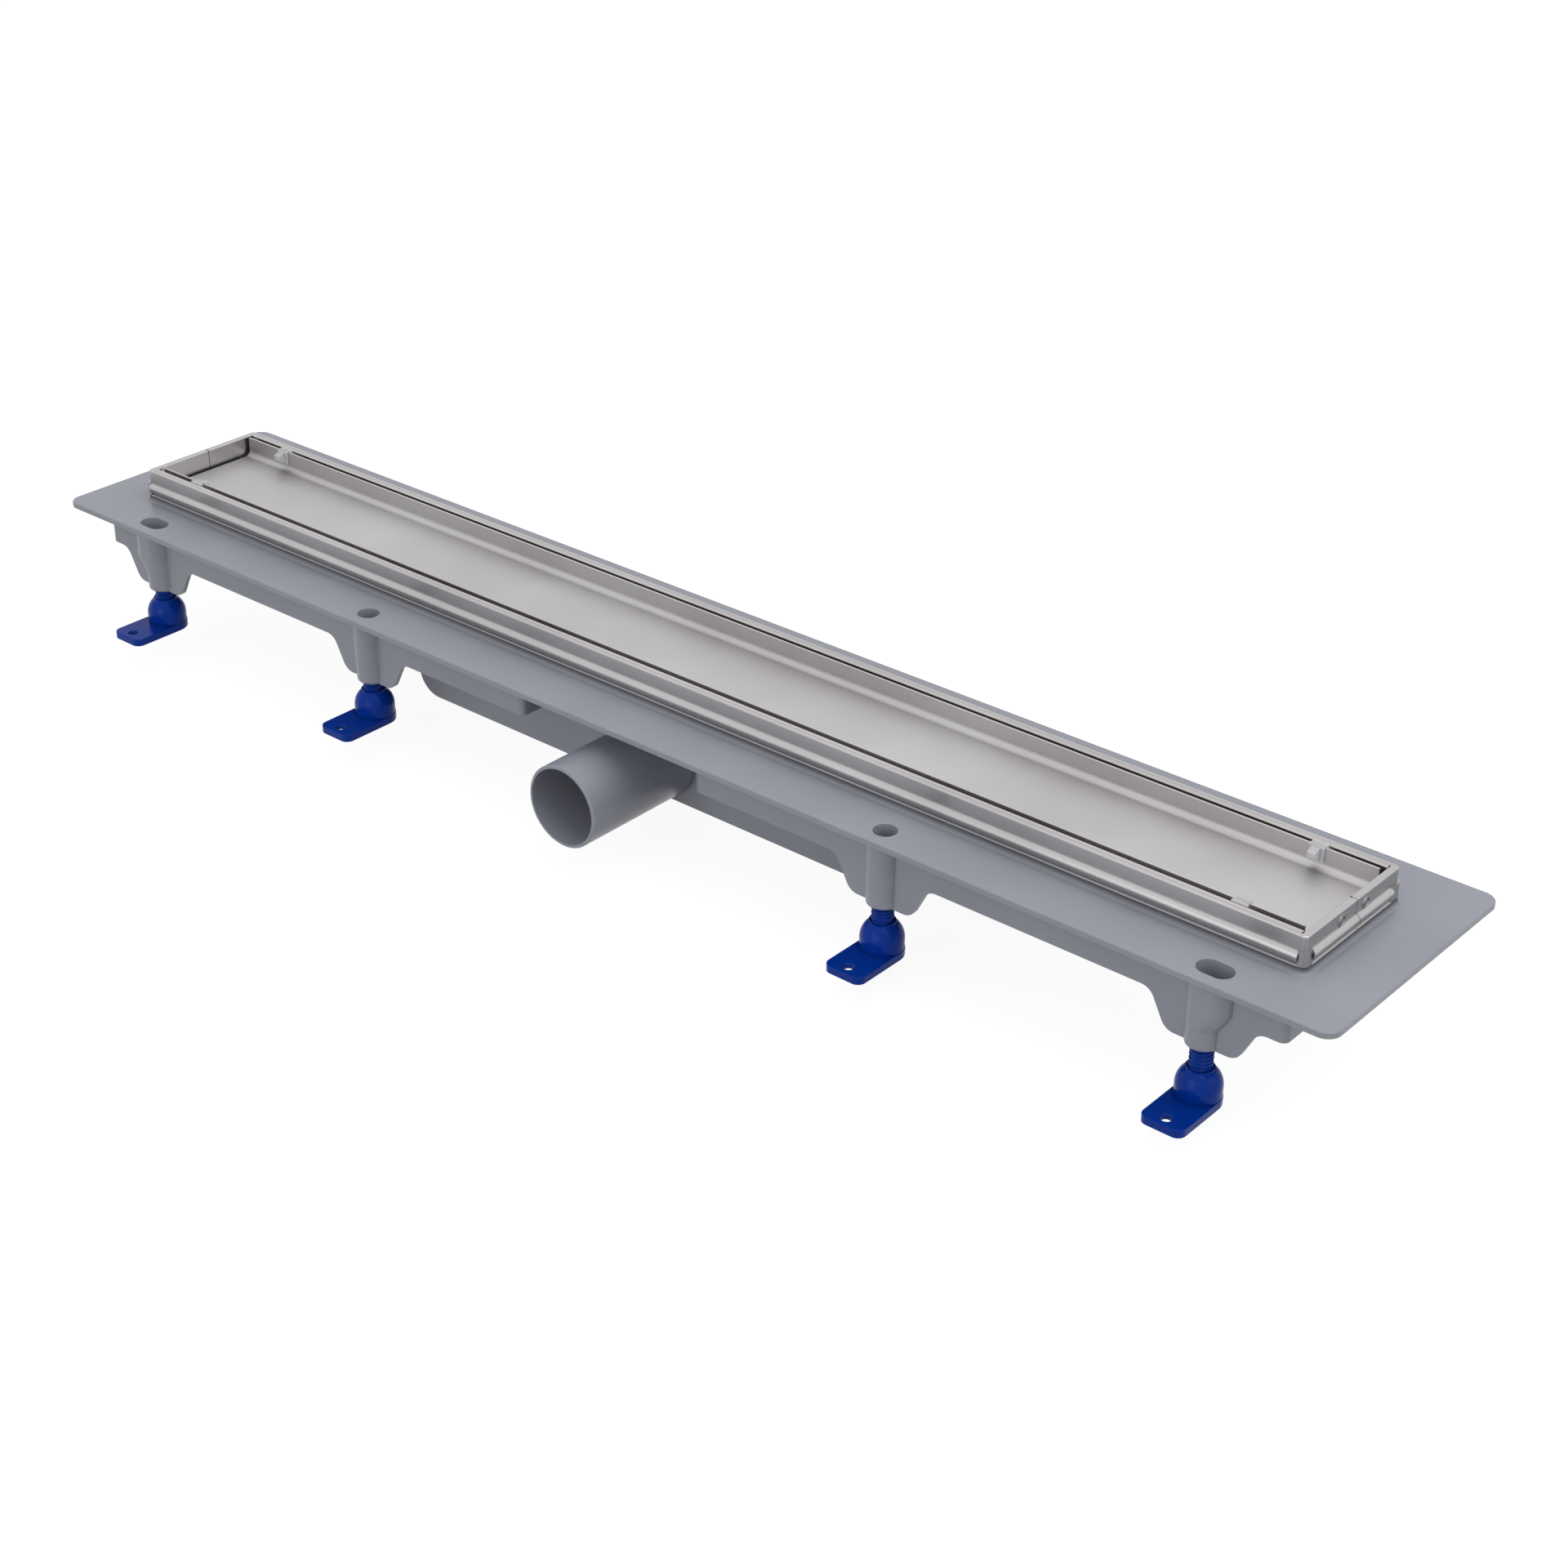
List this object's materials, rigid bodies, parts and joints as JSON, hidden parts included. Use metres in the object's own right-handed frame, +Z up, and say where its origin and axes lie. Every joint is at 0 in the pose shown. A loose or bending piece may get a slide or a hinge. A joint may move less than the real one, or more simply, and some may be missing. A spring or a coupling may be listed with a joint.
{
  "type": "linear shower drain",
  "caption": "Low linear shower drain: moulded channel with bonding flange, stainless frame, tray for a tile, side outlet and screw feet.",
  "frame": {"origin": "middle of the tile bed, which is the upper face of the tile tray's floor", "axes": "+X along the drain to its right end seen from the outlet's side, +Y away from the outlet, +Z up"},
  "size_m": [0.945, 0.2106, 0.0984],
  "materials": {
    "channel_grey": "satin moulded plastic",
    "frame_steel": "satin stainless sheet",
    "tray_steel": "satin stainless sheet",
    "spacer_white": "translucent white",
    "foot_blue": "glossy moulded plastic",
    "trap_plastic": "moulded plastic",
    "trap_rubber": "matt"
  },
  "bodies": {
    "channel": {"channel_body": "channel_grey", "frame_front_half": "frame_steel", "frame_rear_half": "frame_steel", "splice_plate_left": "frame_steel", "splice_plate_right": "frame_steel", "side_rail_front": "frame_steel", "side_rail_rear": "frame_steel", "tile_tray": "tray_steel", "tray_spacer_front_left": "spacer_white", "tray_spacer_front_right": "spacer_white", "tray_spacer_rear_left": "spacer_white", "tray_spacer_rear_right": "spacer_white", "trap_cup": "trap_plastic", "trap_lid": "trap_plastic", "trap_seal": "trap_rubber"},
    "foot_front_1": {"foot_base_front_1": "foot_blue"},
    "screw_front_1": {"foot_screw_front_1": "foot_blue"},
    "foot_front_2": {"foot_base_front_2": "foot_blue"},
    "screw_front_2": {"foot_screw_front_2": "foot_blue"},
    "foot_front_3": {"foot_base_front_3": "foot_blue"},
    "screw_front_3": {"foot_screw_front_3": "foot_blue"},
    "foot_front_4": {"foot_base_front_4": "foot_blue"},
    "screw_front_4": {"foot_screw_front_4": "foot_blue"},
    "foot_rear_1": {"foot_base_rear_1": "foot_blue"},
    "screw_rear_1": {"foot_screw_rear_1": "foot_blue"},
    "foot_rear_2": {"foot_base_rear_2": "foot_blue"},
    "screw_rear_2": {"foot_screw_rear_2": "foot_blue"},
    "foot_rear_3": {"foot_base_rear_3": "foot_blue"},
    "screw_rear_3": {"foot_screw_rear_3": "foot_blue"},
    "foot_rear_4": {"foot_base_rear_4": "foot_blue"},
    "screw_rear_4": {"foot_screw_rear_4": "foot_blue"}
  },
  "joints": [
    {"name": "foot_front_1_lift", "type": "slide", "parent": "channel", "child": "foot_front_1", "axis": [0, 0, 1], "range_m": [-0.0205, 0.0059]},
    {"name": "screw_front_1_turn", "type": "hinge", "parent": "foot_front_1", "child": "screw_front_1", "pos_m": [-0.397, -0.0684, -0.038], "axis": [0, 0, 1], "range_deg": [-2954, 852]},
    {"name": "foot_front_2_lift", "type": "slide", "parent": "channel", "child": "foot_front_2", "axis": [0, 0, 1], "range_m": [-0.021, 0.0054]},
    {"name": "screw_front_2_turn", "type": "hinge", "parent": "foot_front_2", "child": "screw_front_2", "pos_m": [-0.198, -0.0684, -0.038], "axis": [0, 0, 1], "range_deg": [-3026, 780]},
    {"name": "foot_front_3_lift", "type": "slide", "parent": "channel", "child": "foot_front_3", "axis": [0, 0, 1], "range_m": [-0.0167, 0.0097]},
    {"name": "screw_front_3_turn", "type": "hinge", "parent": "foot_front_3", "child": "screw_front_3", "pos_m": [0.198, -0.0684, -0.038], "axis": [0, 0, 1], "range_deg": [-2407, 1399]},
    {"name": "foot_front_4_lift", "type": "slide", "parent": "channel", "child": "foot_front_4", "axis": [0, 0, 1], "range_m": [-0.0138, 0.0126]},
    {"name": "screw_front_4_turn", "type": "hinge", "parent": "foot_front_4", "child": "screw_front_4", "pos_m": [0.397, -0.0684, -0.038], "axis": [0, 0, 1], "range_deg": [-1990, 1817]},
    {"name": "foot_rear_1_lift", "type": "slide", "parent": "channel", "child": "foot_rear_1", "axis": [0, 0, 1], "range_m": [-0.0185, 0.0079]},
    {"name": "screw_rear_1_turn", "type": "hinge", "parent": "foot_rear_1", "child": "screw_rear_1", "pos_m": [-0.397, 0.0684, -0.038], "axis": [0, 0, 1], "range_deg": [-2666, 1140]},
    {"name": "foot_rear_2_lift", "type": "slide", "parent": "channel", "child": "foot_rear_2", "axis": [0, 0, 1], "range_m": [-0.0185, 0.0079]},
    {"name": "screw_rear_2_turn", "type": "hinge", "parent": "foot_rear_2", "child": "screw_rear_2", "pos_m": [-0.198, 0.0684, -0.038], "axis": [0, 0, 1], "range_deg": [-2666, 1140]},
    {"name": "foot_rear_3_lift", "type": "slide", "parent": "channel", "child": "foot_rear_3", "axis": [0, 0, 1], "range_m": [-0.0185, 0.0079]},
    {"name": "screw_rear_3_turn", "type": "hinge", "parent": "foot_rear_3", "child": "screw_rear_3", "pos_m": [0.198, 0.0684, -0.038], "axis": [0, 0, 1], "range_deg": [-2666, 1140]},
    {"name": "foot_rear_4_lift", "type": "slide", "parent": "channel", "child": "foot_rear_4", "axis": [0, 0, 1], "range_m": [-0.0185, 0.0079]},
    {"name": "screw_rear_4_turn", "type": "hinge", "parent": "foot_rear_4", "child": "screw_rear_4", "pos_m": [0.397, 0.0684, -0.038], "axis": [0, 0, 1], "range_deg": [-2666, 1140]}
  ],
  "couplings": [
    {"joint": "screw_front_1_turn", "follows": "foot_front_1_lift", "rad_per_m": 2513.3},
    {"joint": "screw_front_2_turn", "follows": "foot_front_2_lift", "rad_per_m": 2513.3},
    {"joint": "screw_front_3_turn", "follows": "foot_front_3_lift", "rad_per_m": 2513.3},
    {"joint": "screw_front_4_turn", "follows": "foot_front_4_lift", "rad_per_m": 2513.3},
    {"joint": "screw_rear_1_turn", "follows": "foot_rear_1_lift", "rad_per_m": 2513.3},
    {"joint": "screw_rear_2_turn", "follows": "foot_rear_2_lift", "rad_per_m": 2513.3},
    {"joint": "screw_rear_3_turn", "follows": "foot_rear_3_lift", "rad_per_m": 2513.3},
    {"joint": "screw_rear_4_turn", "follows": "foot_rear_4_lift", "rad_per_m": 2513.3}
  ]
}
